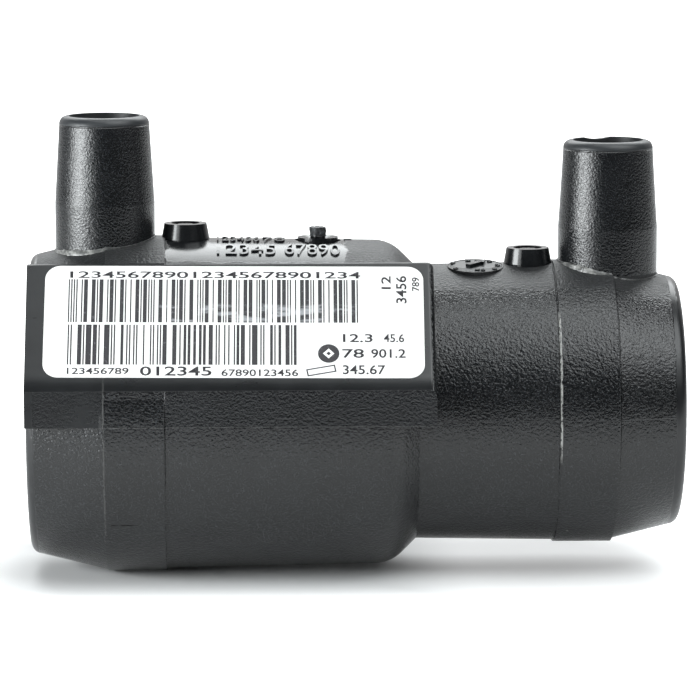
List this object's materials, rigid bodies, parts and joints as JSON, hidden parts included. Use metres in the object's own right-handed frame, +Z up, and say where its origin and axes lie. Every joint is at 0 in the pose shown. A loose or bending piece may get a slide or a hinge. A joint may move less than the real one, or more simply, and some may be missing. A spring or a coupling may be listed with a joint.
{
  "type": "electrofusion reducer coupler",
  "caption": "Black polyethylene electrofusion coupler that reduces from a 32 mm pipe to a 25 mm pipe, with upright shrouded terminals, fusion indicators and a leaning label pad.",
  "frame": {"origin": "on the bore axis, where the larger pipe's end meets the centre stop", "axes": "+X along the bore from the large socket to the small one, +Z up through the terminals, the label pad towards -Y"},
  "size_m": [0.084, 0.0436, 0.0593],
  "materials": {
    "black_polyethylene": "coarse spark-eroded grain outside, smooth in the sockets",
    "resistance_wire": "drawn copper-nickel wire",
    "brass_pin": "turned",
    "indicator_polyethylene": "smooth",
    "label_film": "satin white film"
  },
  "bodies": {
    "root": {"coupler_body": "black_polyethylene", "heating_wire": "resistance_wire", "terminal_pin_large": "brass_pin", "terminal_pin_small": "brass_pin", "fusion_indicator_large": "indicator_polyethylene", "fusion_indicator_small": "indicator_polyethylene", "label": "label_film"}
  },
  "joints": []
}
